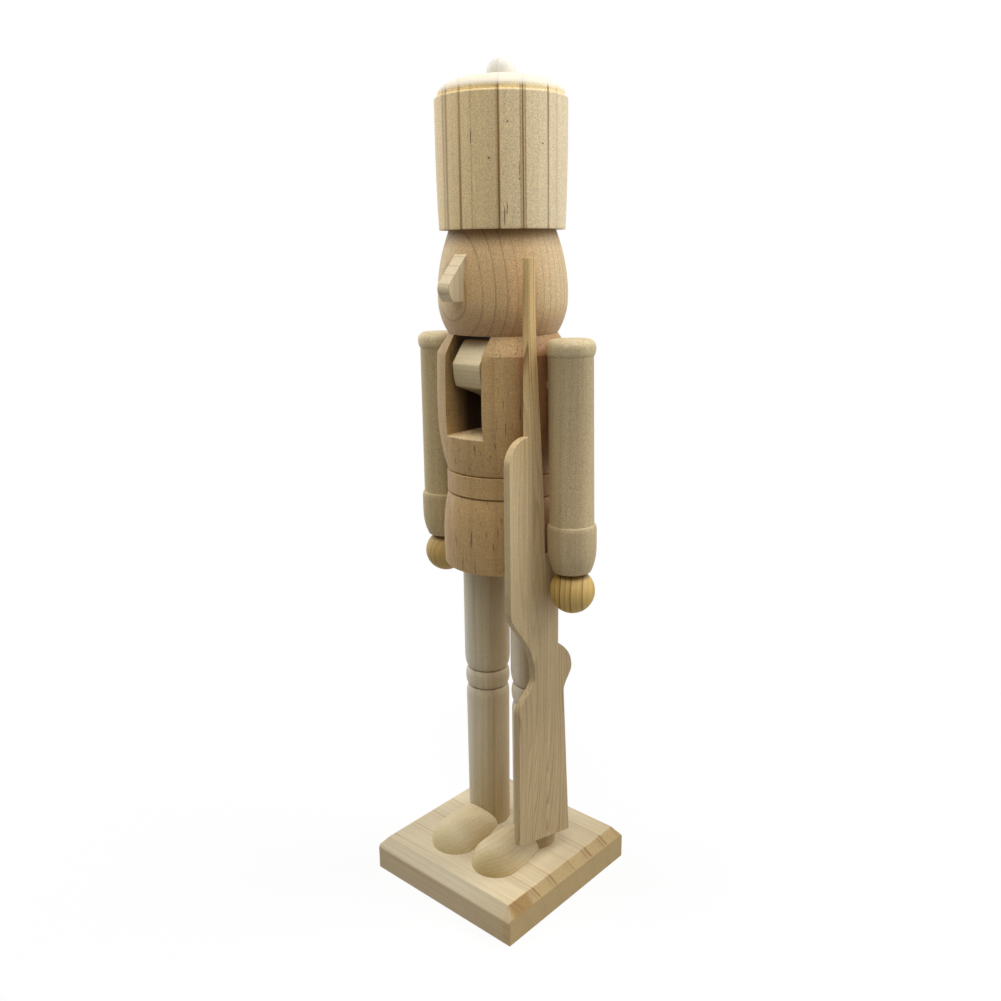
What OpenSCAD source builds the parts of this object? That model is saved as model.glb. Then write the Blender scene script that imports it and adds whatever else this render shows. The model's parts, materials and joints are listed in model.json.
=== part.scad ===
// Unpainted wooden nutcracker soldier: turned and sawn pieces, dowelled and glued, with a working jaw lever.
// The figure faces -Y, its left hand is on +X, and the origin is the middle of the base board's underside.
// Outlines of turned pieces are lists of [radius, height]. Outlines of sawn boards are lists of [y, z].

/* [Base board] */
// Side of the square board
base_w = 91; // [84:1:120]
// Thickness of the board
base_t = 18; // [15:0.5:25]
// Height of the bevel along the front and back edges
base_bevel_h = 6; // [2:0.2:8]
// Height of the bevel along the side edges
base_side_bevel_h = 4.8; // [2:0.2:8]
// Width of the bevel, seen from above
base_bevel_w = 4.2; // [2:0.2:6]
// Distance of the figure's axis from the middle of the board, towards its left
figure_x = 0.6; // [0:0.1:2]
// Distance of the figure's axis behind the middle of the board
figure_y = 4.6; // [0:0.2:5]

/* [Legs] */
// Distance of each leg's axis from the middle plane
leg_x = 15.6; // [13:0.05:17]
// Distance of the legs behind the figure's axis
leg_y = 3.1; // [0:0.1:5]
// Length of a leg from the base board to the torso
leg_h = 150.4; // [120:0.2:180]
// Radius of the shin at the base board
ankle_r = 10.75; // [9:0.05:11.5]
// Radius of the shin below the knee
shin_r = 11.1; // [9.5:0.1:11.5]
// Radius of the thigh
thigh_r = 11.6; // [10.5:0.1:12.5]
// Height of the middle of the knee ring above the base board
knee_h = 83.4; // [60:0.2:100]
// Height of the knee ring from groove to groove
knee_ring_h = 9.8; // [7:0.2:14]
// Radius of the knee ring
knee_ring_r = 11.3; // [10.2:0.1:12]
// Radius at the bottom of the knee grooves
knee_groove_r = 9.5; // [8:0.1:10]
// Height over which the shin rounds in to its groove
shin_round_h = 5.5; // [2:0.5:8]
// Height over which the thigh rounds in to its groove
thigh_round_h = 7.5; // [2:0.5:12]

/* [Shoes] */
// Distance of the toe in front of the leg's axis
shoe_len = 41.2; // [34:0.2:44]
// Radius of the half egg at its widest
shoe_r = 12.4; // [11:0.1:12.8]
// Length of the rounded toe
shoe_toe = 12.5; // [10:0.5:18]
// Radius of the egg at its heel end
shoe_heel_r = 9.9; // [8:0.1:11]
// Distance of the heel end in front of the leg's axis
shoe_heel = 4.5; // [3:0.5:8]
// Sideways shift of the right shoe from its leg, towards the figure's left
right_shoe_shift = -0.8; // [-3:0.1:0]
// Turn of the right shoe towards the figure's left, in degrees
right_shoe_turn = 6.5; // [0:0.5:8]
// Sideways shift of the left shoe from its leg, towards the figure's left
left_shoe_shift = -2; // [-2.5:0.1:1]
// Turn of the left shoe towards the figure's left, in degrees
left_shoe_turn = 2.5; // [0:0.5:8]

/* [Torso] */
// Height of the skirt below the belt
skirt_h = 35.5; // [30:0.1:50]
// Radius of the skirt at its widest
skirt_r = 29.3; // [28.5:0.1:31]
// Height of the widest part of the skirt above its hem
skirt_wide_h = 12.6; // [8:0.1:22]
// Radius of the skirt just above its hem
hem_r = 29; // [28:0.1:30]
// Radius of the rounded edge of the hem
hem_round = 0.6; // [0.4:0.1:3]
// Radius where the skirt and the chest meet the belt
waist_r = 26.9; // [26:0.1:28]
// Height of the belt
belt_h = 10.5; // [6:0.5:16]
// Radius of the belt
belt_r = 27.2; // [26.5:0.1:28.5]
// Depth of the grooves above and below the belt
belt_groove = 1.1; // [0.5:0.1:2]
// Height of the chest from the belt to the shoulder edge
chest_h = 54.5; // [48:0.5:70]
// Radius of the chest at its widest
chest_r = 31; // [30.5:0.1:34]
// Height of the widest part of the chest above the belt
chest_wide_h = 31.6; // [22:0.2:40]
// Radius at the shoulder edge
shoulder_r = 30.4; // [29:0.1:31]
// Height of the sloping shoulders
shoulder_h = 8.3; // [5:0.1:12]
// Radius of the top of the torso, under the head
neck_r = 25; // [24:0.1:27]

/* [Mouth and jaw lever] */
// Width of the slot through the torso
slot_w = 20.8; // [20:0.2:24]
// Distance of the slot's middle from the figure's axis, towards the figure's left
slot_x = 1.65; // [0:0.05:2]
// Depth of the slot below the top of the torso
slot_depth = 45; // [42:0.5:52]
// Side play of the lever in the slot, on each side
jaw_side_play = 2.3; // [0.4:0.1:2.5]
// Gap between the closed jaw and the head
jaw_gap = 2.2; // [1:0.1:4]
// Distance of the chin behind the widest part of the chest
chin_recess = 4; // [3:0.2:10]
// Height of the bevel above the chin's face
chin_bevel_h = 10; // [6:0.5:12]
// Depth of the bevel above the chin's face
chin_bevel_w = 7.9; // [5:0.1:11]
// Height of the chin's face
chin_face_h = 10.2; // [8:0.2:13]
// Distance that the chin's face tucks in at its lower edge
chin_tuck = 1.6; // [0:0.1:3]
// Height of the slope under the chin
chin_under_h = 5.8; // [2:0.2:8]
// Depth of the slope under the chin
chin_under_w = 15; // [8:0.5:15]
// Depth of the flat top of the jaw
jaw_top_w = 7; // [4:0.5:10]
// Distance of the pivot behind the figure's axis
pivot_y = 6; // [3:0.5:9]
// Height of the pivot above the floor of the slot
pivot_rise = 15.8; // [14:0.2:18]
// Radius of the pivot pin
pin_r = 2; // [1.5:0.1:3]
// Depth of the pin's ends below the side of the chest
pin_inset = 2; // [1:0.5:6]
// Running clearance between the pin and the lever
pin_play = 0.05; // [0.02:0.01:0.09]
// Height of the lever above the pivot
bar_up = 12; // [8:0.5:13]
// Height of the lever below the pivot
bar_down = 7.5; // [6:0.5:9]
// Gap between the lever's tail and the back of the chest
tail_gap = 0.3; // [0.3:0.1:1]
// Thickness of the lever's tail
tail_t = 9; // [6:0.5:9.5]
// Length of the tail below the pivot
tail_len = 76; // [50:1:100]
// Radius of the bend in the lever's back
tail_round = 8; // [4:0.5:8.5]

/* [Head and nose] */
// Height of the head
head_h = 45.1; // [38:0.1:55]
// Radius of the head at its widest
head_r = 29.6; // [28:0.1:32]
// Height of the widest part of the head above the torso
head_wide_h = 16.4; // [10:0.2:24]
// Radius of the top of the head, under the hat
head_top_r = 24; // [20:0.5:26]
// Width of the nose
nose_w = 7; // [5:0.2:10]
// Height of the underside of the nose above the torso
nose_rise = 15; // [11:0.5:18]
// Height of the nose at the back
nose_h = 22.3; // [18:0.1:24]
// Height of the bridge's lower end above the underside
nose_bridge_h = 9.4; // [7:0.2:11]
// Distance of the bridge's lower end in front of the widest part of the head
nose_bridge_out = 7; // [5:0.2:9]
// Distance of the tip in front of the widest part of the head
nose_out = 9.7; // [9.2:0.1:13]
// Height of the tip above the underside
nose_tip_h = 5.2; // [4:0.2:6.5]
// Distance of the underside's front edge in front of the widest part of the head
nose_under_out = 5.8; // [3:0.2:8]
// Depth of the nose's mortise behind the widest part of the head
nose_set = 4.6; // [3.5:0.2:7]

/* [Hat] */
// Height of the side of the hat
hat_side_h = 54.5; // [46:0.5:75]
// Radius of the hat at the bottom
hat_low_r = 28.2; // [26:0.1:31]
// Radius of the hat at the rim
hat_rim_r = 29.05; // [28:0.05:32]
// Height over which the hat widens from the bottom
hat_flare_h = 39.7; // [20:0.1:39.9]
// Radius of the rim's rounded edge
hat_rim_round = 0.9; // [0.4:0.1:1.2]
// Depth of the ledge inside the rim
hat_ledge = 1.5; // [1.3:0.1:3]
// Height of the upright band above the ledge
hat_band_h = 1.7; // [0.5:0.1:3]
// Height of the dome above the band
hat_dome_h = 7.6; // [4:0.2:14]
// Radius of the knob
knob_r = 6.2; // [4:0.1:9]
// Height of the knob's upright side
knob_side_h = 1.6; // [0.5:0.1:3]
// Height of the knob's dome
knob_dome_h = 5.9; // [3:0.1:9]

/* [Arms and hands] */
// Gap between the chest and a sleeve
arm_gap = 0.3; // [0.2:0.05:2]
// Distance of the right arm in front of the figure's axis
right_arm_front = -0.7; // [-2:0.1:3]
// Distance of the left arm in front of the figure's axis
left_arm_front = 2.8; // [0:0.1:3.5]
// Distance of the top of the right arm below the top of the torso
right_arm_drop = 1.7; // [0:0.1:3]
// Distance of the top of the left arm below the top of the torso
left_arm_drop = 0.8; // [0:0.1:3]
// Length of the right arm from its top to the end of its cuff
right_arm_len = 102; // [90:0.2:120]
// Length of the left arm from its top to the end of its cuff
left_arm_len = 104.4; // [90:0.2:120]
// Radius of the sleeve
sleeve_r = 10.15; // [8.5:0.05:11]
// Radius of the shoulder cap
cap_r = 11.15; // [10.2:0.05:11.2]
// Height of the shoulder cap
cap_h = 7.2; // [4:0.2:9]
// Radius of the cuff
cuff_r = 11.2; // [10.2:0.1:12]
// Height of the cuff
cuff_h = 22.4; // [18:0.2:28]
// Height over which the cuff rounds out from the sleeve
cuff_edge_h = 3; // [2:0.2:6]
// Height over which the cuff rounds in to its mouth
cuff_taper_h = 14; // [6:0.5:14]
// Radius of the cuff's mouth
cuff_mouth_r = 8.6; // [6.5:0.1:9]
// Radius of a hand
hand_r = 10.4; // [9:0.1:11]
// Distance of a hand's centre below its cuff
hand_drop = 9.6; // [8:0.1:13]
// Radius of the tenon that a hand has in its cuff
hand_tenon_r = 3.5; // [3:0.1:5]
// Length of that tenon in the cuff
hand_tenon_len = 12; // [6:0.5:16]

/* [Rifle] */
// Thickness of the board
rifle_t = 3.4; // [3:0.1:5]
// Gap between the skirt and the board
rifle_gap = 0.15; // [0.1:0.05:1]
// Distance of the grip's rear edge behind the left arm's axis
grip_back = 3.2; // [2:0.1:5]
// Height of the top of the grip above the end of the cuff
grip_rise = 6.2; // [5:0.2:9]
// Depth of the step from the grip to the stock's rear edge
grip_step = 10; // [8:0.5:12]
// Height of the muzzle above the grip
barrel_up = 132.1; // [100:0.5:150]
// Depth of the barrel at the muzzle
barrel_w = 4.9; // [3.5:0.1:6]
// Distance of the barrel's rear edge in front of the grip's rear edge
barrel_front = 16.5; // [14:0.5:20]
// Length of the straight rear edge below the muzzle
barrel_straight = 25.3; // [10:0.1:40]
// Height of the stock's shoulder above the grip
stock_up = 57; // [45:0.5:75]
// Radius of the stock's shoulder
stock_round = 12; // [6:0.5:12.5]
// Distance of the stock's front edge in front of the grip's rear edge
stock_front = 34.4; // [31:0.2:36]
// Height from the top of the grip down to the end of the stock's front edge
stock_down = 21; // [16:0.2:30]
// Height from the end of the stock's front edge down to the neck
neck_down = 37.5; // [26:0.5:42]
// Distance of the neck's front edge in front of the grip's rear edge
neck_front = 17.3; // [15:0.1:22]
// Height from the neck down to the butt's front edge
butt_round_h = 14.5; // [10:0.5:26]
// Distance of the butt's front edge in front of the grip's rear edge
butt_front = 28.8; // [25:0.1:33]
// Height of the butt's lowest corner above the base board
butt_lift = 9; // [4:0.5:20]
// Rise of the butt's end from its lowest corner to its front corner
butt_slant = 9.4; // [0:0.2:14]
// Distance of the butt's lowest corner behind the grip's rear edge
butt_back = 9.6; // [4:0.2:12]
// Height of the grip's rear edge from its top down to the bulge
grip_h = 45.6; // [40:0.2:52]
// Height from the end of the grip down to the tip of the bulge
bulge_down = 15.3; // [9:0.1:18]
// Distance of the tip of the bulge behind the grip's rear edge
bulge_back = 10.6; // [7:0.1:13]
// Height from the tip of the bulge down to the waist behind it
waist_down = 11.2; // [9:0.2:18]
// Distance of that waist behind the grip's rear edge
waist_back = 4.6; // [2:0.1:8]

/* [Dowels] */
// Radius of the foot and hip dowels
leg_dowel_r = 3; // [2:0.5:4]
// Length of each of these dowels in the leg
leg_dowel_len = 14; // [8:0.5:20]
// Length of a foot dowel in the base board
foot_dowel_len = 10; // [6:0.5:12]
// Radius of the neck dowels
neck_dowel_r = 3; // [2:0.5:3.5]
// Length of a neck dowel in the torso, and in the head
neck_dowel_len = 11; // [6:0.5:12]
// Distance of the neck dowels from the middle plane
neck_dowel_x = 18; // [16.5:0.5:19]
// Radius of the hat dowel
hat_dowel_r = 4; // [3:0.5:6]
// Length of the hat dowel in the head, and in the hat
hat_dowel_len = 14; // [8:0.5:18]
// Radius of the knob's tenon
knob_tenon_r = 3; // [2:0.5:3.5]
// Length of the knob's tenon
knob_tenon_len = 9; // [5:0.5:12]
// Radius of the shoulder dowels
shoulder_dowel_r = 3; // [2.5:0.5:4.5]
// Length of a shoulder dowel in the torso
shoulder_dowel_len = 12; // [8:0.5:14]
// Height of the shoulder dowels below the top of the torso
shoulder_dowel_drop = 21.2; // [17:0.2:22]
// Radius of the rifle peg
peg_r = 1.5; // [1:0.1:1.8]
// Length of the peg in the cuff
peg_len = 4.5; // [3:0.5:5]
// Height of the peg below the top of the grip
peg_drop = 3.2; // [2.5:0.1:4]
// Glue gap around a dowel, a tenon or a seat
glue = 0.05; // [0.02:0.01:0.1]
// Free depth at the blind end of a dowel hole
hole_end = 0.5; // [0.2:0.1:1]

/* [Hidden] */
$fn = 96;
curve_steps = 12;
cut = 1;
far = 200;

// Levels, from the base board up
hip_z = base_t + leg_h;
belt_z = hip_z + skirt_h;
chest_z = belt_z + belt_h;
shoulder_z = chest_z + chest_h;
neck_z = shoulder_z + shoulder_h;
crown_z = neck_z + head_h;
rim_z = crown_z + hat_side_h;
knee_z = base_t + knee_h;
hat_band_r = hat_rim_r - hat_ledge;
knob_z = rim_z + hat_band_h + hat_dome_h * sqrt(1 - pow((knob_r + glue) / hat_band_r, 2));

// Mouth and jaw
slot_z = neck_z - slot_depth;
pivot_z = slot_z + pivot_rise;
jaw_w = slot_w - 2 * jaw_side_play;
jaw_top_z = neck_z - jaw_gap;
chin_top_z = jaw_top_z - chin_bevel_h;
chin_low_z = chin_top_z - chin_face_h;
chin_y = chin_recess - chest_r;
bar_top_z = pivot_z + bar_up;
bar_low_z = pivot_z - bar_down;
tail_in_y = chest_r + tail_gap;
tail_out_y = tail_in_y + tail_t;
tail_end_z = pivot_z - tail_len;
pin_half = sqrt(chest_r * chest_r - pivot_y * pivot_y) - pin_inset;

// Arms: the left one leans out, so that the rifle fits between the skirt and the left hand
arm_reach = chest_r + arm_gap + sleeve_r;
shoulder_dowel_z = neck_z - shoulder_dowel_drop;
rifle_in_x = skirt_r + rifle_gap;
rifle_out_x = rifle_in_x + rifle_t;
left_hand_x = rifle_out_x + glue + hand_r;
left_hand_z = cuff_z(1) - hand_drop;
left_lean = atan((left_hand_x - arm_x(1)) / (shoulder_dowel_z - left_hand_z));

// Rifle levels and depths
grip_z = cuff_z(1) + grip_rise;
grip_y = arm_y(1) + grip_back;
muzzle_z = grip_z + barrel_up;
stock_top_z = grip_z + stock_up;
stock_low_z = grip_z - stock_down;
rifle_neck_z = stock_low_z - neck_down;
butt_top_z = rifle_neck_z - butt_round_h;
butt_low_z = base_t + butt_lift;
grip_low_z = grip_z - grip_h;
bulge_z = grip_low_z - bulge_down;
butt_waist_z = bulge_z - waist_down;
barrel_y = grip_y - barrel_front;
stock_y = grip_y - stock_front;
butt_y = grip_y - butt_front;
peg_z = grip_z - peg_drop;

// Colours of the woods and of the pin
pine = [0.86, 0.76, 0.58];
pale_pine = [0.90, 0.82, 0.68];
beech = [0.78, 0.63, 0.46];
lime = [0.77, 0.66, 0.49];
basswood = [0.74, 0.65, 0.50];
yellow_pine = [0.76, 0.62, 0.36];
birch = [0.76, 0.67, 0.52];
steel = [0.62, 0.62, 0.63];

// A curve from a piece's widest ring to its end ring, bending more as the power grows
function swell(wide_r, wide_z, end_r, end_z, power, first = 0) =
    [for (i = [first:curve_steps]) let (t = i / curve_steps)
        [wide_r - (wide_r - end_r) * pow(t, power), wide_z + (end_z - wide_z) * t]];

// A quarter of an ellipse about a centre, from one angle to another
function arc(c, rx, ry, from, to, first = 0) =
    [for (i = [first:curve_steps]) let (a = from + (to - from) * i / curve_steps)
        [c.x + rx * cos(a), c.y + ry * sin(a)]];

// A smooth curve between two points that leaves along the first handle and arrives along the second
function bend(p0, h0, h1, p1, first = 0) =
    [for (i = [first:curve_steps]) let (t = i / curve_steps, u = 1 - t)
        u * u * u * p0 + 3 * u * u * t * h0 + 3 * u * t * t * h1 + t * t * t * p1];

// A list in the opposite order, without the points that it shares with the curve before it
function turned_round(list, shared = 0) = [for (i = [len(list) - 1 - shared:-1:0]) list[i]];

// Moves a piece from the figure's axis to the base board's frame
module on_figure() {
    translate([figure_x, figure_y, 0]) children();
}

// A piece turned on a lathe
module turning(outline) {
    rotate_extrude() polygon(outline);
}

// A board sawn to an outline of [y, z], of thickness t, with its inner face at x
module board(outline, t, x) {
    translate([x, 0, 0]) rotate([90, 0, 90]) linear_extrude(t) polygon(outline);
}

// A peg along X from x0 to x1
module cross_peg(r, x0, x1, y, z) {
    translate([x0, y, z]) rotate([0, 90, 0]) cylinder(r = r, h = x1 - x0);
}

// Both legs' places
module at_legs() {
    for (side = [-1, 1]) translate([side * leg_x, leg_y, 0]) children();
}

// Base board with its bevel and the holes for the foot dowels
module base_plate() {
    inset = base_bevel_w;
    half = base_w / 2;
    color(pale_pine) difference() {
        translate([-half, -half, 0]) cube([base_w, base_w, base_t]);
        for (turn = [0:90:270]) {
            drop = turn % 180 == 0 ? base_side_bevel_h : base_bevel_h;
            rotate([90, 0, turn]) translate([0, 0, -base_w]) linear_extrude(2 * base_w)
                polygon([[half, base_t - drop], [half + cut, base_t - drop], [half + cut, base_t + cut],
                         [half - inset - cut * inset / drop, base_t + cut]]);
        }
        on_figure() at_legs() translate([0, 0, base_t - foot_dowel_len - hole_end])
            cylinder(r = leg_dowel_r + glue, h = far);
    }
}

// Legs: shin, knee ring between two grooves, thigh
function leg_outline() =
    let (low = knee_z - knee_ring_h / 2, high = knee_z + knee_ring_h / 2)
    concat([[0, base_t], [ankle_r, base_t]],
           arc([knee_groove_r, low - shin_round_h], shin_r - knee_groove_r, shin_round_h, 0, 90),
           arc([knee_groove_r, knee_z], knee_ring_r - knee_groove_r, knee_ring_h / 2, -90, 90, 1),
           arc([knee_groove_r, high + thigh_round_h], thigh_r - knee_groove_r, thigh_round_h, -90, 0, 1),
           [[thigh_r, hip_z], [0, hip_z]]);

module leg(side) {
    color(basswood) on_figure() translate([side * leg_x, leg_y, 0]) difference() {
        turning(leg_outline());
        translate([0, 0, base_t - cut]) cylinder(r = leg_dowel_r + glue, h = leg_dowel_len + hole_end + cut);
        translate([0, 0, hip_z - leg_dowel_len - hole_end]) cylinder(r = leg_dowel_r + glue, h = far);
    }
}

module right_leg() { leg(-1); }

module left_leg() { leg(1); }

// Shoes: half an egg that lies along the foot, scooped at the back to fit the leg
function shoe_outline() =
    concat([[0, shoe_heel]],
           turned_round(swell(shoe_r, shoe_len - shoe_toe, shoe_heel_r, shoe_heel, 2)),
           arc([0, shoe_len - shoe_toe], shoe_r, shoe_toe, 0, 90, 1));

module shoe(side, shift, turn) {
    color(pine) on_figure() translate([side * leg_x, leg_y, base_t]) difference() {
        translate([shift, 0, 0]) rotate([90, 0, turn]) turning(shoe_outline());
        translate([-far / 2, -far / 2, -far]) cube(far);
        translate([0, 0, -cut]) cylinder(r = max(ankle_r, shin_r) + glue, h = far);
    }
}

module right_shoe() { shoe(-1, right_shoe_shift, right_shoe_turn); }

module left_shoe() { shoe(1, left_shoe_shift, left_shoe_turn); }

// Torso: skirt, belt, chest and shoulders, with the mouth slot, the pin's hole and the dowel holes
function torso_outline() =
    let (groove_r = waist_r - belt_groove, edge = belt_groove / 2)
    concat([[0, hip_z]],
           arc([hem_r - hem_round, hip_z + hem_round], hem_round, hem_round, -90, 0),
           turned_round(swell(skirt_r, hip_z + skirt_wide_h, hem_r, hip_z + hem_round, 2), 1),
           swell(skirt_r, hip_z + skirt_wide_h, waist_r, belt_z - edge, 2.4, 1),
           [[groove_r, belt_z], [belt_r, belt_z + edge], [belt_r, chest_z - edge], [groove_r, chest_z]],
           turned_round(swell(chest_r, chest_z + chest_wide_h, waist_r, chest_z + edge, 2.35)),
           swell(chest_r, chest_z + chest_wide_h, shoulder_r, shoulder_z, 2, 1),
           [[neck_r, neck_z], [0, neck_z]]);

module torso() {
    color(beech) on_figure() difference() {
        turning(torso_outline());
        translate([slot_x - slot_w / 2, -far / 2, slot_z]) cube([slot_w, far, far]);
        cross_peg(pin_r, -far, far, pivot_y, pivot_z);
        at_legs() translate([0, 0, hip_z - cut])
            cylinder(r = leg_dowel_r + glue, h = leg_dowel_len + hole_end + cut);
        for (side = [-1, 1]) {
            translate([side * neck_dowel_x, 0, neck_z - neck_dowel_len - hole_end])
                cylinder(r = neck_dowel_r + glue, h = far);
            mirror([side < 0 ? 1 : 0, 0, 0])
                cross_peg(shoulder_dowel_r + glue, chest_r - shoulder_dowel_len - hole_end, far, arm_y(side),
                          shoulder_dowel_z);
        }
    }
}

// Jaw lever: chin in front, bar through the slot, tail down the back
function lever_outline() =
    let (chin_low_y = chin_y + chin_tuck,
         under = [chin_low_y + chin_under_w, chin_low_z - chin_under_h],
         low = [chin_low_y, chin_low_z],
         top = [chin_y, chin_top_z],
         lip = [chin_y + chin_bevel_w, jaw_top_z],
         lip_back = [lip.x + jaw_top_w, jaw_top_z],
         r = tail_round,
         end_r = tail_t / 2)
    concat([under],
           bend(low, [chin_y + chin_tuck / 4, chin_low_z + chin_face_h / 3],
                [chin_y, chin_top_z - chin_face_h / 3], top),
           bend(top, top + [chin_bevel_w * 0.3, chin_bevel_h * 0.36],
                lip - [chin_bevel_w * 0.36, chin_bevel_h * 0.3], lip, 1),
           [lip_back, [pivot_y - pin_r, bar_top_z]],
           arc([tail_out_y - r, bar_top_z - r], r, r, 90, 0),
           arc([tail_out_y - end_r, tail_end_z + end_r], end_r, end_r, 0, -180),
           arc([tail_in_y - r / 2, bar_low_z - r / 2], r / 2, r / 2, 0, 90),
           [[under.x + (under.y - bar_low_z), bar_low_z]]);

module jaw_lever() {
    color(basswood) on_figure() difference() {
        board(lever_outline(), jaw_w, slot_x - jaw_w / 2);
        cross_peg(pin_r + pin_play, -far, far, pivot_y, pivot_z);
    }
}

// Pivot pin, tight in the torso's side walls
module jaw_pivot_pin() {
    color(steel) on_figure() cross_peg(pin_r, -pin_half, pin_half, pivot_y, pivot_z);
}

// Head with the nose's mortise and the dowel holes
function head_outline() =
    concat([[0, neck_z]],
           turned_round(swell(head_r, neck_z + head_wide_h, neck_r, neck_z, 2.2)),
           swell(head_r, neck_z + head_wide_h, head_top_r, crown_z, 2, 1),
           [[0, crown_z]]);

module head() {
    color(lime) on_figure() difference() {
        turning(head_outline());
        board(nose_outline(), nose_w + 2 * glue, -nose_w / 2 - glue);
        for (side = [-1, 1]) translate([side * neck_dowel_x, 0, neck_z - cut])
            cylinder(r = neck_dowel_r + glue, h = neck_dowel_len + hole_end + cut);
        translate([0, 0, crown_z - hat_dowel_len - hole_end]) cylinder(r = hat_dowel_r + glue, h = far);
    }
}

// Nose: a wedge with a straight bridge and a rounded tip
function nose_outline() =
    let (z = neck_z + nose_rise,
         back_y = nose_set - head_r,
         bridge = [-head_r - nose_bridge_out, z + nose_bridge_h],
         under = [-head_r - nose_under_out, z],
         tip = [-head_r - nose_out, z + nose_tip_h])
    concat([[back_y, z + nose_h]], bend(bridge, tip + [0, 1.5], tip - [0, 1], under), [[back_y, z]]);

module nose() {
    color(pale_pine) on_figure() board(nose_outline(), nose_w, -nose_w / 2);
}

// Hat: side, rounded rim, ledge, upright band and dome
function hat_outline() =
    let (edge = hat_rim_round)
    concat([[0, crown_z]],
           turned_round(swell(hat_rim_r, crown_z + hat_flare_h, hat_low_r, crown_z, 2)),
           arc([hat_rim_r - edge, rim_z - edge], edge, edge, 0, 90),
           [[hat_band_r, rim_z]],
           arc([0, rim_z + hat_band_h], hat_band_r, hat_dome_h, 0, 90));

module hat() {
    color(pine) on_figure() difference() {
        turning(hat_outline());
        translate([0, 0, crown_z - cut]) cylinder(r = hat_dowel_r + glue, h = hat_dowel_len + hole_end + cut);
        translate([0, 0, knob_z - knob_tenon_len - hole_end]) cylinder(r = knob_tenon_r + glue, h = far);
        translate([0, 0, knob_z]) cylinder(r = knob_r + glue, h = far);
    }
}

// Knob on its tenon, seated in a flat cut in the top of the dome
module hat_knob() {
    color(pale_pine) on_figure() turning(concat(
        [[0, knob_z - knob_tenon_len], [knob_tenon_r, knob_z - knob_tenon_len], [knob_tenon_r, knob_z],
         [knob_r, knob_z]],
        arc([0, knob_z + knob_side_h], knob_r, knob_dome_h, 0, 90)));
}

// Place of an arm's axis: each sleeve just clears the chest, and side is 1 on the left and -1 on the right
function arm_y(side) = side > 0 ? -left_arm_front : -right_arm_front;

function arm_x(side) = sqrt(arm_reach * arm_reach - arm_y(side) * arm_y(side));

// Levels of an arm's top and of the end of its cuff
function arm_z(side) = neck_z - (side > 0 ? left_arm_drop : right_arm_drop);

function cuff_z(side) = arm_z(side) - (side > 0 ? left_arm_len : right_arm_len);

// Arms: cuff, sleeve and shoulder cap, with the hand's socket and the shoulder dowel's hole
function arm_outline(side) =
    let (low = cuff_z(side), cuff_top = low + cuff_h, top = arm_z(side), cap_mid = top - cap_h / 2)
    concat([[0, low]],
           turned_round(swell(cuff_r, low + cuff_taper_h, cuff_mouth_r, low, 2.6)),
           arc([sleeve_r, cuff_top - cuff_edge_h], cuff_r - sleeve_r, cuff_edge_h, 0, 90),
           [[sleeve_r, top - cap_h]],
           arc([sleeve_r, cap_mid], cap_r - sleeve_r, cap_h / 2, -90, 0, 1),
           arc([cap_r - cap_h / 2, cap_mid], cap_h / 2, cap_h / 2, 0, 90, 1),
           [[0, top]]);

// The left arm and hand lean out about the shoulder dowel
module at_arm(side) {
    translate([side * arm_x(side), arm_y(side), shoulder_dowel_z]) rotate([0, side > 0 ? -left_lean : 0, 0])
        translate([0, 0, -shoulder_dowel_z]) children();
}

module arm(side) {
    color(basswood) on_figure() difference() {
        at_arm(side) difference() {
            turning(arm_outline(side));
            translate([0, 0, cuff_z(side) - cut])
                cylinder(r = hand_tenon_r + glue, h = hand_tenon_len + hole_end + cut);
            translate([0, 0, cuff_z(side) - hand_drop]) sphere(r = hand_r + glue);
        }
        mirror([side < 0 ? 1 : 0, 0, 0])
            cross_peg(shoulder_dowel_r + glue, 0, arm_x(side) + hole_end, arm_y(side), shoulder_dowel_z);
        if (side > 0) {
            translate([rifle_out_x + glue - far, -far / 2, cuff_z(side) - cut])
                cube([far, far, grip_rise + cut + hole_end]);
            cross_peg(peg_r + glue, 0, rifle_out_x + peg_len + hole_end, arm_y(side), peg_z);
        }
    }
}

module right_arm() { arm(-1); }

module left_arm() { arm(1); }

// Hands: a ball on a tenon
module hand(side) {
    color(yellow_pine) on_figure() at_arm(side) translate([0, 0, cuff_z(side) - hand_drop]) {
        sphere(r = hand_r);
        cylinder(r = hand_tenon_r, h = hand_drop + hand_tenon_len);
    }
}

module right_hand() { hand(-1); }

module left_hand() { hand(1); }

// Rifle: barrel, stock, grip, neck and butt in one outline
function rifle_outline() =
    let (muzzle_low = muzzle_z - barrel_straight,
         step_y = grip_y - grip_step,
         neck = [grip_y - neck_front, rifle_neck_z],
         shoulder = [stock_y + stock_round, stock_top_z - stock_round],
         stock_end = [stock_y, stock_low_z],
         butt_top = [butt_y, butt_top_z],
         grip_end = [grip_y, grip_low_z],
         tip = [grip_y + bulge_back, bulge_z],
         waist = [grip_y + waist_back, butt_waist_z],
         rear = [barrel_y, muzzle_low],
         rise = muzzle_low - grip_z)
    concat([[barrel_y, muzzle_z], [barrel_y - barrel_w, muzzle_z], [barrel_y - barrel_w, stock_top_z]],
           arc(shoulder, stock_round, stock_round, 90, 180),
           bend(stock_end, stock_end - [0, neck_down * 0.25], neck + [0, neck_down * 0.56], neck),
           bend(neck, neck - [0, butt_round_h * 0.3], butt_top + [0, butt_round_h * 0.45], butt_top, 1),
           [[butt_y, butt_low_z + butt_slant], [grip_y + butt_back, butt_low_z]],
           bend(waist, waist + [0, waist_down * 0.4], tip - [0, waist_down * 0.32], tip),
           bend(tip, tip + [0, bulge_down * 0.47], grip_end + [bulge_back, -bulge_down / 2] * 0.47, grip_end, 1),
           [[grip_y, grip_z]],
           bend([step_y, grip_z], [step_y - 0.6, grip_z + rise / 3],
                [barrel_y + 1.5, muzzle_low - rise / 3], rear));

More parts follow.
